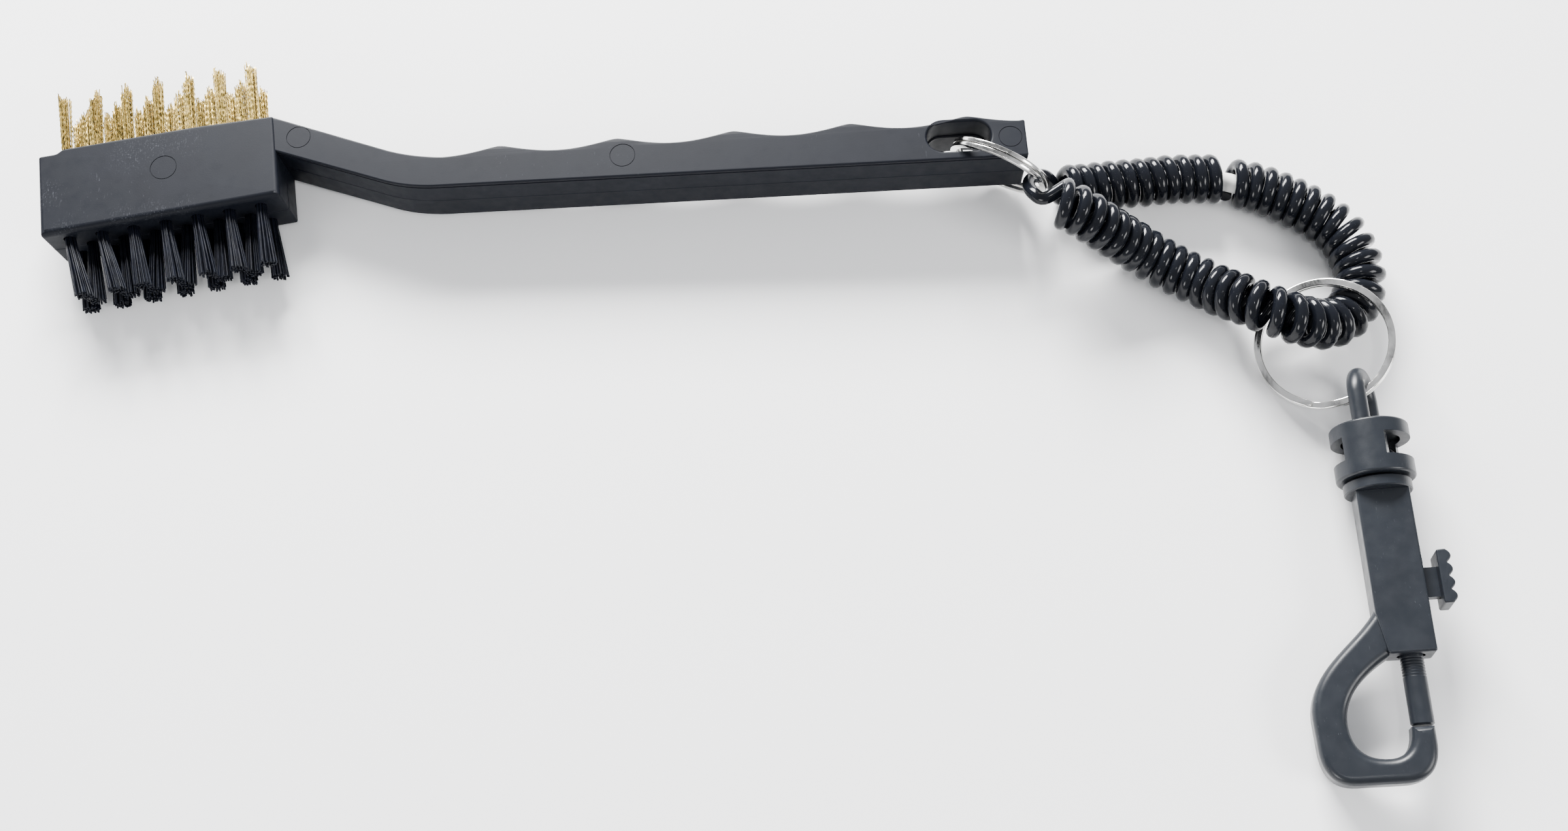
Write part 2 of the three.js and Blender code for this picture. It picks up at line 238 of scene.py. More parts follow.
def scuff(paint, point, reach):
    """Rubbed streaks near a point."""
    rubbed = paint.between(paint.noise(2600, 5.0), 0.5, 0.62)
    streaks = paint.math("MULTIPLY", rubbed, paint.scratches(*STREAKS))
    return paint.math("MULTIPLY", paint.near(point, reach), streaks)


def moulded(name, colour, light, roughness, gloss, grain=5200, scuffs=()):
    """Satin moulded plastic with a fine grain, cloudy gloss, hair scratches and scuffed patches."""
    paint = Paint(name, colour, roughness, Specular_IOR_Level=gloss)
    cloud = paint.between(paint.noise(130, 4.0), 0.35, 0.7)
    tint = paint.mix(cloud, (*colour, 1), (*light, 1))
    marks = hair_scratches(paint)
    for point, reach in scuffs:
        marks = paint.math("MAXIMUM", marks, scuff(paint, point, reach))
    pale = tuple(min(1, c * 3.2 + 0.05) for c in light)
    amount = paint.math("MULTIPLY", marks, 0.4, clamp=True)
    paint.colour(paint.mix(amount, tint, (*pale, 1)))
    rough = paint.between(paint.noise(420, 3.0), 0.3, 0.7, roughness - 0.05, roughness + 0.06)
    paint.roughness(paint.math("ADD", rough, paint.math("MULTIPLY", marks, 0.15)))
    height = paint.math("SUBTRACT", paint.noise(grain, 4.0), paint.math("MULTIPLY", marks, 0.1))
    paint.bump(height, 0.25, 0.00003)
    return paint.material


def brass_wire():
    paint = Paint("brass_wire", (0.70, 0.52, 0.22), 0.3, 1.0)
    shade = paint.between(paint.noise(1500, 3.0), 0.38, 0.62)
    paint.colour(paint.mix(shade, *BRASS_TONES))
    paint.roughness(paint.between(paint.noise(3000), 0.3, 0.7, 0.22, 0.42))
    paint.bump(paint.noise(9000), 0.3, 0.00001)
    return paint.material


def nylon_filament():
    paint = Paint("nylon_filament", (0.005, 0.006, 0.010), 0.5, Specular_IOR_Level=0.1)
    shade = paint.between(paint.noise(700, 3.0), 0.35, 0.7)
    paint.colour(paint.mix(shade, *NYLON_TONES))
    paint.roughness(paint.between(paint.noise(1800), 0.3, 0.7, 0.3, 0.48))
    paint.bump(paint.noise(6000), 0.2, 0.00001)
    return paint.material


def nickel_plate():
    paint = Paint("nickel_plate", (0.80, 0.79, 0.76), 0.14, 1.0)
    drawn = paint.noise(1.0, 3.0, paint.stretched((900, 900, 5200)))
    dull = paint.between(paint.noise(130, 2.0), 0.42, 0.58)
    dark = paint.mix(paint.between(drawn, 0.3, 0.7), *NICKEL_TONES)
    paint.colour(paint.mix(dull, NICKEL_BRIGHT, dark))
    paint.roughness(paint.between(paint.noise(900, 4.0), 0.3, 0.75, 0.08, 0.24))
    paint.bump(drawn, 0.12, 0.00001)
    return paint.material


def cord_plastic():
    paint = Paint("cord_plastic", (0.003, 0.004, 0.006), 0.12, Specular_IOR_Level=0.2)
    dust = paint.between(paint.noise(5200, 4.0), 0.66, 0.74)
    dust = paint.math("MULTIPLY", dust, paint.between(paint.noise(160, 3.0), 0.45, 0.7))
    shade = paint.mix(paint.noise(210), *CORD_TONES)
    paint.colour(paint.mix(paint.math("MULTIPLY", dust, 0.35), shade, DUST))
    paint.roughness(paint.between(paint.noise(640, 3.0), 0.35, 0.7, 0.09, 0.18))
    paint.bump(paint.noise(900, 2.0), 0.05, 0.00003)
    return paint.material


def joiner_plastic():
    paint = Paint("joiner_plastic", (0.82, 0.82, 0.79), 0.4)
    paint.colour(paint.mix(paint.noise(400), *JOINER_TONES))
    paint.bump(paint.noise(3000), 0.2, 0.00002)
    return paint.material


def spring_wire():
    paint = Paint("spring_wire", (0.56, 0.56, 0.57), 0.28, 1.0)
    paint.roughness(paint.between(paint.noise(4000), 0.3, 0.7, 0.2, 0.4))
    paint.bump(paint.noise(8000), 0.2, 0.00001)
    return paint.material


# ---------------------------------------------------------------- mesh tools
# The shallow round groove of an ejector mark: (distance from its radius, height) round its rim.
MARK_GROOVE = ((0.06, 0), (0.03, -0.09), (-0.04, -0.09), (-0.08, -0.01))
WELD = 1e-7  # points closer than this, in metres, become one


class Shell:
    """A closed mesh made of rings of points, the walls between them and flat faces."""

    def __init__(self):
        self.points = []
        self.faces = []

    def ring(self, points):
        start = len(self.points)
        self.points += [tuple(p) for p in points]
        return list(range(start, len(self.points)))

    def wall(self, low, high):
        count = len(low)
        for i in range(count):
            j = (i + 1) % count
            self.faces.append((low[i], low[j], high[j], high[i]))

    def walls(self, rings):
        rings = [self.ring(r) for r in rings]
        for low, high in zip(rings, rings[1:]):
            self.wall(low, high)
        return rings[0], rings[-1]

    def face(self, outer, holes=()):
        loops = [outer, *holes]
        flat = [i for loop in loops for i in loop]
        corners = [[Vector(self.points[i]) for i in loop] for loop in loops]
        for triangle in tessellate_polygon(corners):
            self.faces.append(tuple(flat[k] for k in triangle))

    def tube(self, line, section):
        """A section of (across, up) offsets carried along a line of points, with both ends closed."""
        line = [Vector(p) for p in line]
        ahead = [(b - a).normalized() for a, b in zip(line, line[1:])]
        tangents = [ahead[0]] + [(a + b).normalized() for a, b in zip(ahead, ahead[1:])] + [ahead[-1]]
        across = tangents[0].orthogonal().normalized()
        rings = []
        for point, tangent in zip(line, tangents):
            across = (across - tangent * across.dot(tangent)).normalized()
            up = tangent.cross(across)
            rings.append([point + across * a + up * b for a, b in section])
        first, last = self.walls(rings)
        self.faces.append(tuple(first))
        self.faces.append(tuple(last))


def spun(profile, steps):
    """A closed solid turned about Y from (radius, height) points that start and end on that axis."""
    shell = Shell()
    rings = []
    for radius, height in profile:
        if radius < 1e-6:
            rings.append(shell.ring([(0, height, 0)]))
            continue
        angles = [2 * math.pi * i / steps for i in range(steps)]
        rings.append(shell.ring([(radius * math.cos(a), height, radius * math.sin(a)) for a in angles]))
    for low, high in zip(rings, rings[1:]):
        if len(low) == 1 or len(high) == 1:
            tip, rim = (low[0], high) if len(low) == 1 else (high[0], low)
            for i in range(steps):
                shell.faces.append((tip, rim[i], rim[(i + 1) % steps]))
        else:
            shell.wall(low, high)
    return shell


def circle(radius, steps):
    """Points round a circle, anticlockwise."""
    turns = [2 * math.pi * i / steps for i in range(steps)]
    return [(radius * math.cos(t), radius * math.sin(t)) for t in turns]


def bezier(points, steps):
    """Points after the first along a curve with one or two control points."""
    line = []
    for i in range(1, steps + 1):
        t = i / steps
        row = [Vector(p) for p in points]
        while len(row) > 1:
            row = [a.lerp(b, t) for a, b in zip(row, row[1:])]
        line.append(tuple(row[0]))
    return line


def softened(outline, radius, steps=4, least=0.35):
    """The outline with each corner sharper than least, in radians, rounded off."""
    points = [Vector(p) for p in outline]
    line = []
    for i, corner in enumerate(points):
        before, after = points[i - 1] - corner, points[(i + 1) % len(points)] - corner
        if math.pi - before.angle(after) < least:
            line.append(tuple(corner))
            continue
        start = corner + before.normalized() * min(radius, before.length * 0.45)
        end = corner + after.normalized() * min(radius, after.length * 0.45)
        line.append(tuple(start))
        line += bezier([start, corner, end], steps)
    return line


def inset(outline, distances):
    """The outline, which runs anticlockwise, moved inwards by a distance for each point."""
    moved = []
    for i, distance in enumerate(distances):
        point = Vector(outline[i])
        a = (point - Vector(outline[i - 1])).normalized()
        b = (Vector(outline[(i + 1) % len(outline)]) - point).normalized()
        left_a, left_b = Vector((-a.y, a.x)), Vector((-b.y, b.x))
        mitre = (left_a + left_b) / max(0.5, 1 + left_a.dot(left_b))
        moved.append(tuple(point + mitre * distance))
    return moved


def rounding(steps):
    """(height, inset) of a quarter round, in radii, from the wall to the flat face."""
    turns = [math.pi / 2 * i / steps for i in range(steps + 1)]
    return [(math.sin(t), 1 - math.cos(t)) for t in turns]


def slab(outline, low, high, soft, middle=(), marks=(), holes=(), steps=5):
    """A plan outline between two heights, with rounded edges of radius soft, one number or a
    function of a point, and (height, inset) layers in the middle of its wall. marks are
    (x, y, radius) circles in the upper face. A hole is an outline cut right through, the radius
    of its edges and the (height, inset) layers of its wall."""
    shell = Shell()
    radii = [soft(p) if callable(soft) else soft for p in outline]

    def layer(height, step, up):
        z = [height + up * r * (step[0] - 1) for r in radii]
        moved = inset(outline, [r * step[1] for r in radii])
        return [(x, y, h) for (x, y), h in zip(moved, z)]

    def level(height, distance):
        return [(x, y, height) for x, y in inset(outline, [distance] * len(outline))]

    rings = [layer(low, s, -1) for s in reversed(rounding(steps))]
    rings += [level(z, d) for z, d in middle]
    rings += [layer(high, s, 1) for s in rounding(steps)]
    bottom, top = shell.walls(rings)
    top_holes, bottom_holes = [], []
    for x, y, radius in marks:
        outer, inner = shell.walls([
            [(x + u, y + v, high + z) for u, v in circle(radius + d, 40)] for d, z in MARK_GROOVE
        ])
        top_holes.append(outer)
        shell.face(inner)
    for hole, edge, ledge in holes:
        layers = [(high + edge * (s[0] - 1), -edge * s[1]) for s in reversed(rounding(4))]
        layers += ledge
        layers += [(low - edge * (s[0] - 1), -edge * s[1]) for s in rounding(4)]
        upper, lower = shell.walls([
            [(x, y, z) for x, y in inset(hole, [d] * len(hole))] for z, d in layers
        ])
        top_holes.append(upper)
        bottom_holes.append(lower)
    shell.face(bottom, bottom_holes)
    shell.face(top, top_holes)
    return shell


def shell_object(name, shell, where, sharp):
    """The shell as an object in the model's frame."""
    mesh = bpy.data.meshes.new(name)
    mesh.from_pydata([where @ Vector(p) for p in shell.points], [], shell.faces)
    obj = bpy.data.objects.new(name, mesh)
    bpy.context.collection.objects.link(obj)
    tidy(obj, sharp)
    return obj


def piece(name, shell, where, material, body, replaced=(), sharp=32):
    """The shell as a shown piece, riding on its body."""
    obj = shell_object(name, shell, where, sharp)
    settle(obj, material, body, replaced)
    return obj


def settle(obj, material, body, replaced):
    """Gives a piece its one material and its body, and hides the CAD nodes that it replaces."""
    obj.data.materials.clear()
    obj.data.materials.append(material)
    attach(obj, body)
    if replaced:
        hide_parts(*replaced)


def tidy(obj, sharp):
    """Faces turned outwards, with smooth shading except across edges over an angle in degrees."""
    work = bmesh.new()
    work.from_mesh(obj.data)
    bmesh.ops.remove_doubles(work, verts=work.verts, dist=WELD)
    bmesh.ops.recalc_face_normals(work, faces=work.faces)
    work.to_mesh(obj.data)
    work.free()
    obj.data.polygons.foreach_set("use_smooth", [True] * len(obj.data.polygons))
    obj.data.set_sharp_from_angle(angle=math.radians(sharp))


def combine(obj, shell, where, how):
    """Joins a shell to the object, or cuts it out."""
    tool = shell_object("tool", shell, where, sharp=32)
    boolean = obj.modifiers.new("boolean", "BOOLEAN")
    boolean.operation = how
    boolean.solver = "EXACT"
    boolean.object = tool
    bake(obj)
    bpy.data.objects.remove(tool)


def bake(obj):
    """The object's modifiers applied."""
    graph = bpy.context.evaluated_depsgraph_get()
    mesh = bpy.data.meshes.new_from_object(obj.evaluated_get(graph))
    obj.modifiers.clear()
    old = obj.data
    obj.data = mesh
    bpy.data.meshes.remove(old)


def eased(obj, width, angle, sharp):
    """Small bevels on the edges sharper than an angle, then smooth shading."""
    bevel = obj.modifiers.new("bevel", "BEVEL")
    bevel.width = width * MM
    bevel.segments = 2
    bevel.limit_method = "ANGLE"
    bevel.angle_limit = math.radians(angle)
    bake(obj)
    tidy(obj, sharp)


def weighted(obj):
    """Shading normals that follow the larger faces, so flat faces look flat."""
    normals = obj.modifiers.new("normals", "WEIGHTED_NORMAL")
    normals.keep_sharp = True
    bake(obj)


# ---------------------------------------------------------------- the coiled cord
WIRE = 2.55  # its thickness
COIL_RADIUS = 3.6  # from the route to the wire's middle
COIL_RISE = Vector((0, 0, 0.25))  # the turns stand on the floor
COIL_PITCH = 2.75
TURN_POINTS = 20
PHASE = {"long": 0.9 * math.pi, "short": math.pi}  # where round the coil each stretch starts
SHORT_END_BELOW = 2.0  # the short stretch ends at the bottom of a turn
HOOKED_STEP = 0.5  # between points along the hooked turn
# In a bend the turns open so that on its inner side, "inside" from the route, they stay "closest"
# apart, up to "most" times that on the route. A bend is measured over "window" steps each way.
OPENING = {"step": 0.05, "window": 40, "closest": 2.6, "inside": 2.4, "most": 5}
LONG_ROUTE = [
    (229.5, -13.9, 4.65), (232.5, -14.6, 4.65), (235.4, -15.7, 4.65), (238.4, -17.2, 4.65),
    (241.6, -19.1, 4.65), (244.6, -21.2, 4.65), (247.2, -23.6, 4.65), (249.2, -26.2, 4.65),
    (250.4, -29.1, 4.65), (251, -32.1, 4.65), (251.1, -35.1, 4.65), (250.4, -38.3, 4.65),
    (248.6, -41.5, 4.7), (245.6, -44.2, 5.4), (241.7, -45.8, 7), (237.9, -45.9, 8.7),
    (235, -45.4, 9.7), (232.7, -44.6, 10.1), (229.8, -43.1, 9.9), (227.4, -41.1, 8.9),
    (225.2, -39.2, 7.4), (223.4, -37.6, 6.2), (220.5, -35, 4.9), (217.4, -32.9, 4.65),
    (214.2, -30.8, 4.7), (211, -28.7, 5.2), (207.8, -27.1, 6.6), (204.5, -25.9, 8.5),
    (201.1, -24.4, 10.6), (198, -22.9, 12.2), (195.9, -21.9, 12.9), (193.8, -21, 13.2),
]
SHORT_ROUTE = [
    (227.3, -12.9, 4.65), (223.4, -12.7, 4.65), (218, -12.5, 4.65), (212.4, -12.9, 4.65),
    (207, -13.1, 4.65), (202.5, -13.4, 4.65), (199, -13.8, 4.9), (196.8, -13.9, 5.2),
]
HOOKED_ROUTE = [
    (192.9, -20.6, 13.3), (191.2, -19.7, 13), (189.4, -18.2, 12.2), (188.9, -15.9, 10.9),
    (189.6, -13.8, 9.7), (191.5, -12.4, 8.8), (193.8, -12.5, 7.2), (195.9, -13.7, 5.6),
]
JOINER_LINE = [(224.6, -12.75, 4.65), (228.4, -13.4, 4.65), (231.4, -14.35, 4.65)]
JOINER_RADIUS = 1.8


def smooth_line(points, step):
    """A Catmull-Rom line through the points, with points about step apart."""
    points = [Vector(p) for p in points]
    points = [2 * points[0] - points[1], *points, 2 * points[-1] - points[-2]]
    line = [points[1]]
    for a, b, c, d in zip(points, points[1:], points[2:], points[3:]):
        count = max(1, round((c - b).length / step))
        for i in range(1, count + 1):
            t = i / count
            line.append(
                0.5 * (2 * b + (c - a) * t + (2 * a - 5 * b + 4 * c - d) * t * t
                       + (3 * b - a - 3 * c + d) * t ** 3)
            )
    return line


def helix(route, phase):
    """The wire's line round a route: turns a pitch apart, opening where the route bends."""
    step, window = OPENING["step"], OPENING["window"]
    line = smooth_line(route, step)
    ahead = [(b - a).normalized() for a, b in zip(line, line[1:])]
    ahead.append(ahead[-1])
    up = Vector((0, 0, 1))
    turn, last, wire = phase, phase - 1, []
    for i, (point, tangent) in enumerate(zip(line, ahead)):
        up = (up - tangent * up.dot(tangent)).normalized()
        side = tangent.cross(up)
        if turn - last >= 2 * math.pi / TURN_POINTS:
            wire.append(point + COIL_RISE + (up * math.cos(turn) + side * math.sin(turn)) * COIL_RADIUS)
            last = turn
        low, high = ahead[max(0, i - window)], ahead[min(len(ahead) - 1, i + window)]
        bend = low.angle(high, 0) / (2 * window * step)
        inner = max(1 / OPENING["most"], 1 - bend * OPENING["inside"])
        pitch = max(COIL_PITCH, OPENING["closest"] / inner)
        turn += 2 * math.pi * step / pitch
    return wire


def cord_line():
    """The wire from the joiner along the long stretch, through the handle's ring and back."""
    long = helix(LONG_ROUTE, PHASE["long"])
    hooked = [Vector(p) for p in HOOKED_ROUTE[1:-1]]
    short = helix(list(reversed(SHORT_ROUTE)), PHASE["short"])
    loop = smooth_line([long[-2], long[-1], *hooked, short[0], short[1]], HOOKED_STEP)
    while short[-1].z > short[-2].z or short[-1].z > SHORT_END_BELOW:
        short.pop()
    return long[:-2] + loop + short[2:]


def add_cord():
    wire = cord_line()
    length = sum((b - a).length for a, b in zip(wire, wire[1:])) * MM
    curve = bpy.data.curves.new("coiled_cord", "CURVE")
    curve.dimensions = "3D"
    curve.bevel_depth = WIRE / 2 * MM
    curve.bevel_resolution = 4
    curve.use_fill_caps = True
    spline = curve.splines.new("POLY")
    spline.points.add(len(wire) - 1)
    for target, point in zip(spline.points, wire):
        target.co = (*metres(point), 1)
    spline.use_smooth = True
    cord = bpy.data.objects.new("coiled_cord", curve)
    bpy.context.collection.objects.link(cord)
    settle(cord, MAT["cord"], "lanyard", ("coil_long", "coil_short", "cord_hooked_turn"))
    tuple(metres(wire[0]))


def add_joiner():
    """The peg inside the coil's two ends, which joins them."""
    shell = Shell()
    shell.tube(smooth_line(JOINER_LINE, 0.3), circle(JOINER_RADIUS, 24))
    return piece("coil_joiner_peg", shell, MOVED, MAT["joiner"], "lanyard",
                 ("coil_joiner",))


# ---------------------------------------------------------------- handle and head
GROOVE = {"first": 88.5, "pitch": 22.35, "peak": -3.05, "slope": 0.009, "depth": 1.85, "ease": 0.015}
HANDLE = {"low": 0.3, "high": 11.7, "edge": 0.35, "end": 189, "grip_from": 77.3, "grip_to": 188.4}
GRIP_STEPS = 220
CORNER = 0.5  # the radius of an outline's corners
HEAD_EDGE = {"near": 1.15, "less": 0.7, "fade": 1.2}
SLOT = {"x": 176.2, "y": -6.55, "length": 12.3, "width": 6.4, "edge": 0.45}
# The layers of a wall, from one face to the other: (height, inset).
PARTING_LINE = [(5.9, 0), (6, -0.06), (6.1, 0)]
SEAM = [(10.8, 0), (10.86, 0.2), (11.06, 0.2), (11.12, 0.02)]
SLOT_LEDGE = [(6.4, 0), (6.3, 0.28), (5.9, 0.28), (5.8, 0.02)]
# Ejector marks: (x, y, radius).
HEAD_MARKS = [(23.65, -7.22, 2.5)]
HANDLE_MARKS = [(49.8, 1.2, 2.3), (112, -6.7, 2.4), (185.9, -7.3, 2.2)]
TUFT = {"pitch": 6.05, "first": 4.3, "hole": 1.1, "depth": 5}
ROWS = ((9, 7, 0), (6, 6, 3.03), (3, 7, 0))  # height, count and offset along the head


def grip_edge(x):
    """The finger grooves: shallow arches between rounded peaks."""
    wave = math.sin(math.pi * (x - GROOVE["first"]) / GROOVE["pitch"])
    arch = math.sqrt(wave * wave + GROOVE["ease"]) - math.sqrt(GROOVE["ease"])
    return GROOVE["peak"] + GROOVE["slope"] * (x - GROOVE["first"]) - GROOVE["depth"] * arch


def handle_outline():
    """From the head along the handle's plain side to its end, and back along the grip."""
    line = [(42, -0.3), (46.1, -1.8)]
    line += bezier([(46.1, -1.8), (66, -9.25)], 12)
    line += bezier([(66, -9.25), (71, -11.15), (77, -11.15)], 12)
    line += bezier([(77, -11.15), (HANDLE["end"], -11.55)], 60)
    line += [(HANDLE["end"], -3.6)]
    length = HANDLE["grip_to"] - HANDLE["grip_from"]
    for i in range(1, GRIP_STEPS + 1):
        x = HANDLE["grip_to"] - length * i / GRIP_STEPS
        line.append((x, grip_edge(x)))
    line += bezier([line[-1], (71, -4.3), (66, -2.3)], 12)
    line += bezier([line[-1], (44.6, 6)], 12)
    return softened(line + [(42, 6)], CORNER)


def head_outline():
    """The head, with its far edge raised along the brass tufts."""
    length, width = HEAD["length"], HEAD["width"]
    line = [(0, -width)] + bezier([(0, -width), (length, -width)], 24)
    line += [(length, 0.1), (30, 0.7), (4.6, 0.7), (3.4, -0.1), (0, -0.1)]
    return softened(line, CORNER)


def head_edge(point):
    """The radius of the head's edge at a point: its near edge is rounder than the others."""
    away = (point[1] + HEAD["width"]) / HEAD_EDGE["fade"]
    return HEAD_EDGE["near"] - HEAD_EDGE["less"] * min(1, max(0, away))


def stadium(x, y, length, width, steps=16):
    """A long hole's outline round a point: two half circles and the straights between them."""
    half, radius = (length - width) / 2, width / 2
    line = []
    for side in (1, -1):
        for i in range(steps + 1):
            turn = math.pi * i / steps - math.pi / 2
            line.append((x + side * (half + radius * math.cos(turn)), y + side * radius * math.sin(turn)))
    return line


def add_moulding():
    head = slab(head_outline(), 0, HEAD["thick"], head_edge, PARTING_LINE, HEAD_MARKS, steps=7)
    slot = stadium(SLOT["x"], SLOT["y"], SLOT["length"], SLOT["width"])
    handle = slab(handle_outline(), HANDLE["low"], HANDLE["high"], HANDLE["edge"],
                  PARTING_LINE + SEAM, HANDLE_MARKS, [(slot, SLOT["edge"], SLOT_LEDGE)])
    obj = piece("handle_and_head_moulding", head, HEAD_FRAME, MAT["plastic"],
                "brush", ("handle_and_head",))
    combine(obj, handle, BRUSH, "UNION")
    for side in (1, -1):
        holes = Shell()
        for x, z in tuft_seats():
            y = edge_of(side)
            holes.tube([(x, y - TUFT["depth"] * side, z), (x, y + side, z)], circle(TUFT["hole"], 20))
        combine(obj, holes, HEAD_FRAME, "DIFFERENCE")
    tidy(obj, sharp=30)
    weighted(obj)


# ---------------------------------------------------------------- bristle tufts
# "wire" is a filament's thickness, "length" is how far each row stands out, and "root" and "tip"
# are a tuft's radius at its hole and at its tips. "wander" is how far a tip strays sideways.
BRASS = {
    "side": 1, "count": 44, "wire": 0.2, "length": (13.2, 11.9, 11.9), "root": 0.9, "tip": 1.12,
    "steps": 30, "sides": 4, "crimp": 0.09, "ragged": 1.0, "wander": 0.09,
}
NYLON = {
    "side": -1, "count": 36, "wire": 0.35, "length": (12.6, 12.4, 12.4), "root": 0.85, "tip": 1.6,
    "steps": 6, "sides": 6, "crimp": 0.0, "ragged": 0.0, "wander": 0.03,
}
SUNK = 3.6  # how deep a filament starts in its hole
# A ragged tuft's tips, in parts of its length: a spike within "half" a radius of its peak, a
# shoulder past it, how much shorter a tuft may be, and each filament's own range.
RAGGED = {"spike": 0.085, "half": 0.3, "shoulder": 0.06, "short": 0.05, "uneven": (-0.05, 0.02)}
PEAK_RANGE = (-0.9, 0.5)  # where the spike is across its tuft, in radii
SHORT_RANGE = (0.2, 0.8)
JITTER = 0.25  # how far round its tuft a filament is off its place, in radians
TRIM = 0.012  # how unevenly the filaments are cut, in parts of their length
CRIMP_RANGE = (1.15, 1.5)  # the length of one wave of a crimped wire
ROUND = 6.28  # about one whole turn
BRASS_LEAN = {"first": -0.35, "more": 0.04}
NYLON_TIPS = (  # where each tuft's tips are along the head, row by row
    (6.8, 13.0, 17.8, 23.8, 29.9, 35.7, 41.2),
    (7.9, 14.3, 19.05, 24.9, 31.7, 37.6),
    (5.4, 11.3, 17.2, 23.4, 29.3, 35.5, 41.4),
)
ROW_LEAN = (0.1, 0, -0.1)
ANCHOR = {"half_length": 1.15, "half_width": 0.45, "half_thick": 0.14, "depth": 4.2}


def edge_of(side):
    """Where the head's far edge (side 1) or near edge (side -1) is."""
    return 0 if side > 0 else -HEAD["width"]


def tuft_seats():
    """(along the head, height) of each tuft."""
    return [
        (TUFT["first"] + offset + TUFT["pitch"] * i, z)
        for z, count, offset in ROWS for i in range(count)
    ]


def tuft_places():
    """(row, place in the row) of each tuft, in the order of tuft_seats()."""
    return [(row, i) for row, (_, count, _) in enumerate(ROWS) for i in range(count)]


def disc_points(count, chance):
    """Points spread evenly over a disc of radius 1, each a little off its place."""
    golden = math.pi * (3 - math.sqrt(5))
    for i in range(count):
        away = math.sqrt((i + 0.5) / count)
        turn = golden * i + chance.uniform(-JITTER, JITTER)
        yield away * math.cos(turn), away * math.sin(turn)


def filament(look, at, length, lean, place, reach, chance):
    """One filament's line, from inside its hole to its tip. at is its tuft's seat, and place is
    where it stands in the tuft, in radii."""
    (x, z), (u, w) = at, place
    wander = [chance.gauss(0, look["wander"]) for _ in range(2)]
    phase, heading = chance.uniform(0, ROUND), chance.uniform(0, ROUND)
    wave = chance.uniform(*CRIMP_RANGE)
    line = []
    for i in range(look["steps"] + 1):
        y = -SUNK + (reach + SUNK) * i / look["steps"]
        t = max(0, y / length)
        spread = look["root"] + (look["tip"] - look["root"]) * t
        kink = look["crimp"] * math.sin(2 * math.pi * y / wave + phase) * min(1, max(0, y + 0.5))
        line.append((
            x + u * spread + (lean[0] + wander[0]) * t + kink * math.cos(heading),
            edge_of(look["side"]) + look["side"] * y,
            z + w * spread + (lean[1] + wander[1]) * t + kink * math.sin(heading),
        ))
    return line


def add_tufts(kind, look, lean_of):
    """One piece for each tuft: filaments that fan out from their hole to their tips, which are
    level where the look's ragged is 0 and end in a spike and a shoulder where it is 1."""
    for index, (seat, (row, place)) in enumerate(zip(tuft_seats(), tuft_places())):
        chance = random.Random(f"{kind}{index}")
        peak, short = chance.uniform(*PEAK_RANGE), chance.uniform(*SHORT_RANGE)
        length, lean = look["length"][row], lean_of(row, place)
        shell = Shell()
        for u, w in disc_points(look["count"], chance):
            spike = 1.0 if abs(u - peak) < RAGGED["half"] else 0.0
            step = RAGGED["spike"] * spike + RAGGED["shoulder"] * (u > peak) - RAGGED["short"] * short
            step = look["ragged"] * (step + chance.uniform(*RAGGED["uneven"]))
            reach = length * (1 + step + chance.uniform(-TRIM, TRIM))
            line = filament(look, seat, length, lean, (u, w), reach, chance)
            shell.tube(line, circle(look["wire"] / 2, look["sides"]))
        name = f"{kind}_tuft_{index + 1:02d}"
        piece(name + "_bristles", shell, HEAD_FRAME, MAT[kind], "brush", (name,),
              sharp=60)


def brass_lean(row, place):
    """How far a brass tuft's tips lean along the head and upwards."""
    return BRASS_LEAN["first"] + BRASS_LEAN["more"] * place, ROW_LEAN[row]


def nylon_lean(row, place):
    """The same for nylon, whose tips are at set places along the head."""
    seat = TUFT["first"] + ROWS[row][2] + TUFT["pitch"] * place
    return NYLON_TIPS[row][place] - seat, ROW_LEAN[row]


def add_anchors():
    """The metal anchor folded across each tuft at the bottom of its hole."""
    a, b, half = ANCHOR["half_width"], ANCHOR["half_thick"], ANCHOR["half_length"]
    shell = Shell()
    for side in (1, -1):
        y = edge_of(side) - side * ANCHOR["depth"]
        for x, z in tuft_seats():
            shell.tube([(x - half, y, z), (x + half, y, z)], [(-a, -b), (a, -b), (a, b), (-a, b)])
    piece("tuft_anchors", shell, HEAD_FRAME, MAT["steel"], "brush")


# ---------------------------------------------------------------- split rings
# The wire is "radial" wide and "axial" thick with edges of radius "edge". Its two turns lie "lift"
# above and below the middle, and its ends narrow to "blunt" of that over the length "point".
RING = {
    "radial": 1.3, "axial": 0.85, "edge": 0.22, "lift": 0.5, "split": 0.21,
    "blunt": 0.6, "point": 0.9, "steps": 300,
}
# Radius, centre, normal and opening.
HANDLE_RING = (9.35, (183.81, -10.95, 10.45), (0.479, 0.839, 0.258), 1.9)
HOOK_RING = (11.85, (241, -49.5, 6.9), (-0.416, -0.073, 0.906), -1.7)


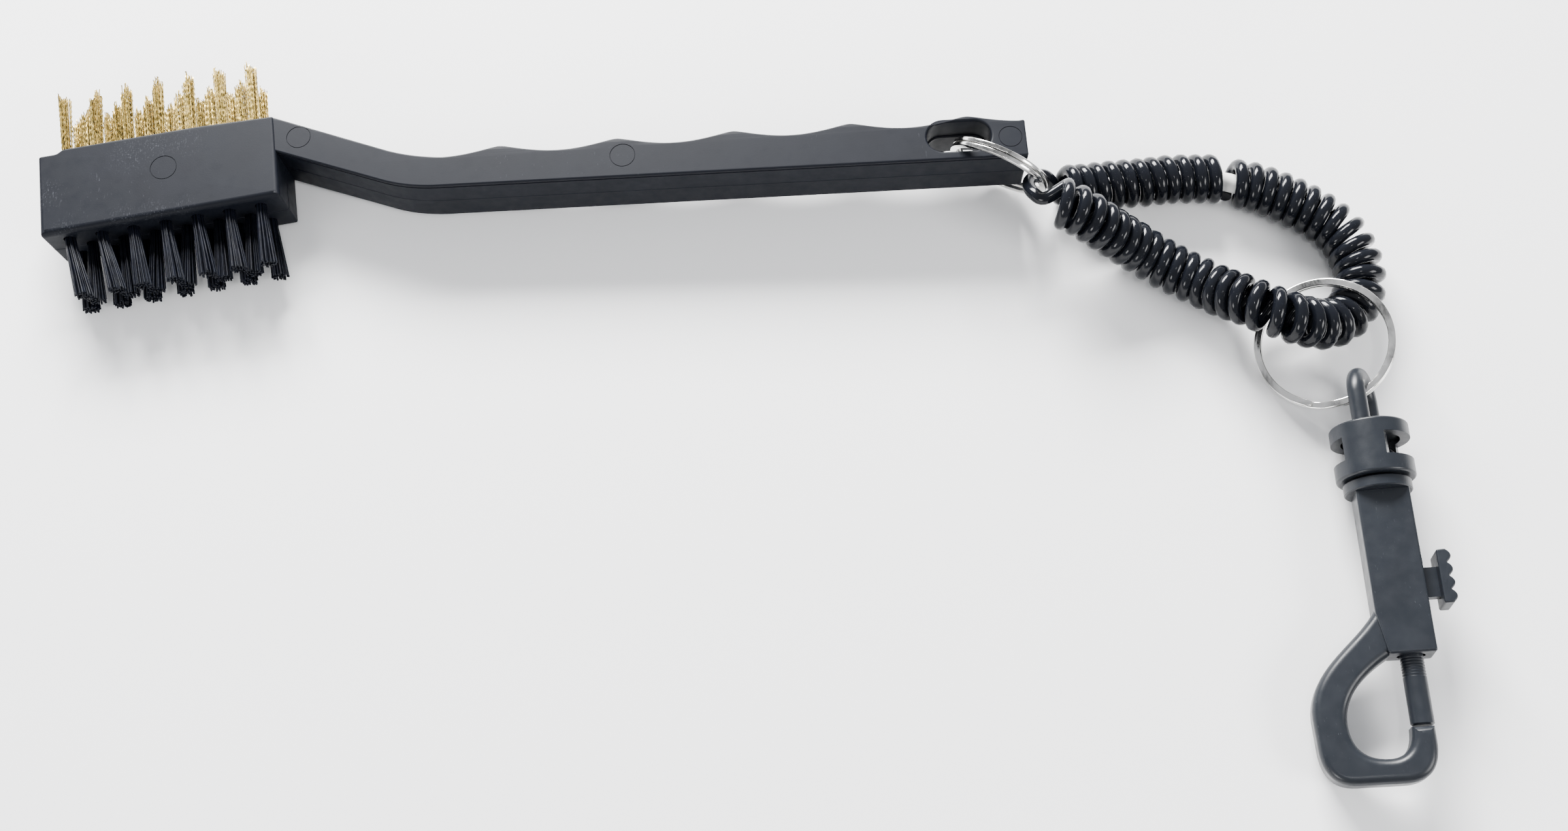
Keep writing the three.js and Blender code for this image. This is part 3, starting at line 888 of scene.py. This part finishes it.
def add_ring(name, radius, centre, normal, opening, body):
    """Flat wire with rounded edges wound twice round, its two ends eased to a blunt point.
    The ends lie on either side of the angle opening."""
    a, b, split = RING["radial"] / 2, RING["axial"] / 2, RING["split"]
    section = softened([(-a, -b), (a, -b), (a, b), (-a, b)], RING["edge"], 3)
    shell = Shell()
    rings = []
    turns = 4 * math.pi - 2 * split
    for i in range(RING["steps"] + 1):
        t = i / RING["steps"]
        turn = split + t * turns
        across = min(1, max(0, (turn - 2 * math.pi + split) / (2 * split)))
        across = across * across * (3 - 2 * across)
        lift = RING["lift"] * (2 * across - 1)
        end = min(1, min(t, 1 - t) * turns * radius / RING["point"])
        slim = RING["blunt"] + (1 - RING["blunt"]) * math.sqrt(end)
        angle = turn + opening
        rings.append([
            ((radius + u * slim) * math.cos(angle), (radius + u * slim) * math.sin(angle), lift + v * slim)
            for u, v in section
        ])
    first, last = shell.walls(rings)
    shell.faces += [tuple(first), tuple(last)]
    turned = Vector((0, 0, 1)).rotation_difference(Vector(normal)).to_matrix().to_4x4()
    where = MOVED @ Matrix.Translation(centre) @ turned
    piece(name + "_wire", shell, where, MAT["nickel"], body, (name,), sharp=50)


# ---------------------------------------------------------------- swivel snap hook
CAGE = {"radius": 6.85, "top": 11.3, "bottom": 1.1, "bore": 5.1, "hole": 3.6, "wall": 2}
WINDOW = {"low": 4.2, "high": 8.5, "post": 3.6}
EASE = {"cage": 0.5, "bolt": 0.3, "flange": 0.2}  # how far a turned edge is eased
EYE_LOOP = {"limb": 1.6, "spread": 4.6, "top": 22.9, "sunk": 1.2}
BODY = {"left": -4.3, "right": 4.75, "depth": 7, "length": 30.7, "taper": -23.5, "corner": -3.1}
BODY_EDGE = 0.45
OUTSIDE = 9  # past the body's right side
CURL = {"depth": 6, "edge": 1.45}
FLANGE = {"radius": 5.85, "low": -1.3, "high": 0.7}
STUD = {"neck": 3.1, "head": 4.6, "under": 3.5, "rim": 4.9, "crown": 2.6, "top": 7.4}
BOLT = {"x": 0.85, "radius": 1.95, "bore": 2.35, "rear": -14.5, "tip": -42.6, "travel": 9.5}
SPRING = {"radius": 1.6, "wire": 0.4, "turns": 6, "rear": -1.9}
TAB = {"near": -15.6, "far": -20.9, "half": 1, "inner": 7.2, "outer": 9.5, "top": -13, "low": -22.5}
TEETH = {"count": 4, "depth": 0.8, "half": 3.2}  # the tab's thumb grip
RIBS = {"count": 7, "first": 8.2, "pitch": 0.5, "depth": 0.07}  # fine grooves round the bolt
GAP = 0.3
LAP = 0.5  # how far joined shapes run into each other


def box_shell(low, high):
    """A box between its lowest and highest corners."""
    (x0, y0, z0), (x1, y1, z1) = low, high
    shell = Shell()
    shell.walls([[(x0, y0, z), (x1, y0, z), (x1, y1, z), (x0, y1, z)] for z in (z0, z1)])
    shell.faces += [(0, 1, 2, 3), (4, 5, 6, 7)]
    return shell


def drum(radius, low, high, ease, steps=4):
    """The profile of a round drum with eased rims, as (radius, height) points."""
    turns = [math.pi / 2 * i / steps for i in range(1, steps + 1)]
    inner = radius - ease
    rim = [(inner + ease * math.sin(t), low + ease - ease * math.cos(t)) for t in turns]
    upper_rim = [(inner + ease * math.cos(t), high - ease + ease * math.sin(t)) for t in turns]
    return [(0, low), (inner, low), *rim, (radius, high - ease), *upper_rim, (0, high)]


def eye_loop():
    """The round bar that stands on the cage and takes the ring."""
    top, spread, limb = CAGE["top"], EYE_LOOP["spread"], EYE_LOOP["limb"]
    shoulder = EYE_LOOP["top"] - limb - spread
    arch = [(0, shoulder + spread * math.sin(t), spread * math.cos(t))
            for t in (math.pi * i / 40 for i in range(41))]
    leg = [top - EYE_LOOP["sunk"], (top + shoulder) / 2]
    loop = Shell()
    loop.tube(
        [*((0, y, spread) for y in leg), *arch, *((0, y, -spread) for y in reversed(leg))],
        circle(limb, 32),
    )
    return loop


def add_swivel_eye():
    r, top, bottom, wall = CAGE["radius"], CAGE["top"], CAGE["bottom"], CAGE["wall"]
    eye = piece("swivel_eye_moulding", spun(drum(r, bottom, top, EASE["cage"]), 96), EYE, MAT["hook"],
                "swivel", ("swivel_eye",))
    bore = [(0, bottom + wall), (CAGE["bore"], bottom + wall), (CAGE["bore"], top - wall), (0, top - wall)]
    hole = [(0, bottom - wall), (CAGE["hole"], bottom - wall), (CAGE["hole"], bottom + 2 * wall),
            (0, bottom + 2 * wall)]
    combine(eye, eye_loop(), EYE, "UNION")
    combine(eye, spun(bore, 64), EYE, "DIFFERENCE")
    combine(eye, spun(hole, 64), EYE, "DIFFERENCE")
    for side in (1, -1):
        x = sorted((side * WINDOW["post"], side * (r + 1)))
        cut = box_shell((x[0], WINDOW["low"], -r - 1), (x[1], WINDOW["high"], r + 1))
        combine(eye, cut, EYE, "DIFFERENCE")
    eased(eye, width=0.22, angle=50, sharp=40)
    weighted(eye)


def hook_outline():
    """The curl's outer side, from the body down and round to its tip, and its inner side back."""
    line = [(-3.8, -21.8)]
    line += bezier([(-3.8, -21.8), (-6.5, -27.84), (-16.98, -31.79), (-16.92, -40.94)], 20)
    line += bezier([(-16.92, -40.94), (-16.7, -46.5)], 4)
    line += bezier([(-16.7, -46.5), (-16.28, -52.34), (-11.1, -52.29)], 14)
    line += bezier([(-11.1, -52.29), (-3.65, -52.22)], 4)
    line += bezier([(-3.65, -52.22), (2.43, -52.16), (2.43, -45.43)], 16)
    line += [(2.43, -42.94), (-1.26, -42.95)]
    line += bezier([(-1.26, -42.95), (-1.44, -48.03), (-5.51, -48.05)], 12)
    line += bezier([(-5.51, -48.05), (-11.31, -48.09), (-11.34, -41.95)], 14)
    line += bezier([(-11.34, -41.95), (-11.17, -35.89), (-3.22, -31)], 14)
    line += [(0, -28.42), (0, -21.8)]
    return line


def body_outline():
    """The square body's front view, which narrows at its lower left."""
    left, right, length = BODY["left"], BODY["right"], -BODY["length"]
    line = [(left, -1), (left, BODY["taper"]), (BODY["corner"], length), (right, length), (right, -1)]
    return softened(line, CORNER)


def neck_profile():
    """The flange on top of the body and the stud that turns in the eye's cage."""
    radius, low, high, ease = FLANGE["radius"], FLANGE["low"], FLANGE["high"], EASE["flange"]
    return [
        (0, low), (radius - ease, low), (radius, low + ease), (radius, high - ease), (radius - ease, high),
        (STUD["neck"], high), (STUD["neck"], STUD["under"]), (STUD["head"], STUD["under"]),
        (STUD["head"], STUD["rim"]), (STUD["crown"], STUD["top"]), (0, STUD["top"]),
    ]


def add_hook_body():
    half = BODY["depth"] / 2
    curl = CURL["depth"] / 2
    hook = slab(hook_outline(), -curl, curl, CURL["edge"], steps=8)
    body = piece("hook_body_moulding", hook, HOOK, MAT["hook"], "hook", ("hook_body",))
    combine(body, slab(body_outline(), -half, half, BODY_EDGE), HOOK, "UNION")
    combine(body, spun(neck_profile(), 72), HOOK, "UNION")
    bore = Shell()
    bore.tube([(BOLT["x"], -BODY["length"] - 1, 0), (BOLT["x"], SPRING["rear"] + GAP, 0)],
              circle(BOLT["bore"], 40))
    combine(body, bore, HOOK, "DIFFERENCE")
    clear = TAB["near"] + BOLT["travel"] + GAP
    track = box_shell((0, TAB["far"] - GAP, -TAB["half"] - GAP), (OUTSIDE, clear, TAB["half"] + GAP))
    combine(body, track, HOOK, "DIFFERENCE")
    tidy(body, sharp=32)
    weighted(body)


def bolt_profile():
    """The bolt's profile from its tip to its rear, with fine grooves round it below its middle."""
    radius, tip, rear, ease = BOLT["radius"], BOLT["tip"], BOLT["rear"], EASE["bolt"]
    profile = [(0, tip), (radius - ease, tip), (radius, tip + ease)]
    bottom = radius - RIBS["depth"]
    for i in range(RIBS["count"]):
        y = tip + RIBS["first"] + RIBS["pitch"] * i
        profile += [(radius, y), (bottom, y + 0.1), (bottom, y + 0.22), (radius, y + 0.32)]
    return profile + [(radius, rear - ease), (radius - ease, rear), (0, rear)]


def pad_outline():
    """The thumb pad's side view: a plain inner edge and a wavy outer one."""
    crest, trough = TAB["outer"] + TEETH["depth"], TAB["outer"] - TEETH["depth"]
    pitch = (TAB["top"] - TAB["low"]) / TEETH["count"]
    line = [(TAB["inner"], TAB["low"]), (trough, TAB["low"])]
    for i in range(TEETH["count"]):
        y = TAB["low"] + pitch * i
        line += bezier([line[-1], (crest, y + pitch / 2), (trough, y + pitch)], 12)
    return softened(line + [(TAB["inner"], TAB["top"])], 0.4, 5, 0.9)


def add_gate_bolt():
    x, half = BOLT["x"], TAB["half"]
    where = HOOK @ Matrix.Translation((x, 0, 0))
    bolt = piece("gate_bolt_moulding", spun(bolt_profile(), 48), where, MAT["hook"],
                 "bolt", ("gate_bolt",))
    stem = box_shell((x, TAB["far"], -half), (TAB["inner"] + LAP, TAB["near"], half))
    combine(bolt, stem, HOOK, "UNION")
    combine(bolt, slab(pad_outline(), -TEETH["half"], TEETH["half"], 0.3), HOOK, "UNION")
    tidy(bolt, sharp=32)
    weighted(bolt)


def add_spring():
    steps = 40 * SPRING["turns"]
    first, last = SPRING["rear"] - SPRING["wire"], BOLT["rear"] + 3 * GAP + SPRING["wire"]
    line = []
    for i in range(steps + 1):
        t = i / steps
        turn = 2 * math.pi * SPRING["turns"] * t
        line.append((BOLT["x"] + SPRING["radius"] * math.cos(turn), first + (last - first) * t,
                     SPRING["radius"] * math.sin(turn)))
    shell = Shell()
    shell.tube(line, circle(SPRING["wire"] / 2, 10))
    piece("bolt_spring_coil", shell, HOOK, MAT["steel"], "hook", ("bolt_spring",),
          sharp=60)


# ---------------------------------------------------------------- the whole brush
def head_point(x, y, z):
    """A point of the head's frame in the model's own frame."""
    return tuple(HEAD_FRAME @ Vector((x, y, z)))


SCUFFS = [
    (head_point(5, -17, 11.8), 0.004), (head_point(15.5, -16.9, 11.8), 0.004),
    (head_point(21.5, -16.6, 11.8), 0.004), (head_point(27, -16.4, 11.8), 0.003),
    (head_point(17.5, -3, 12), 0.005), (head_point(22, -2.2, 12), 0.004),
    (head_point(28, -2.5, 12), 0.004), (head_point(2, -9, 12), 0.004),
]
PLASTIC = ((0.0034, 0.0043, 0.0074), (0.0044, 0.0055, 0.0090))
HOOK_PLASTIC = ((0.0088, 0.0106, 0.0140), (0.0108, 0.0130, 0.0168))
MAT = {
    "plastic": moulded("handle_plastic", *PLASTIC, 0.5, 0.13, scuffs=SCUFFS),
    "hook": moulded("hook_plastic", *HOOK_PLASTIC, 0.34, 0.3, grain=3600),
    "brass": brass_wire(),
    "nylon": nylon_filament(),
    "nickel": nickel_plate(),
    "cord": cord_plastic(),
    "joiner": joiner_plastic(),
    "steel": spring_wire(),
}

add_camera()
joiner = add_joiner()
add_cord()
add_studio()
add_floor()
add_moulding()
add_tufts("brass", BRASS, brass_lean)
add_tufts("nylon", NYLON, nylon_lean)
add_anchors()
add_ring("handle_ring", *HANDLE_RING, "handle_ring")
add_ring("hook_ring", *HOOK_RING, "hook_ring")
add_swivel_eye()
add_hook_body()
add_gate_bolt()
add_spring()

boxes = {"cad": cad_box, "visual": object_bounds()}
{key: [list(map(float, corner)) for corner in box] for key, box in boxes.items()}
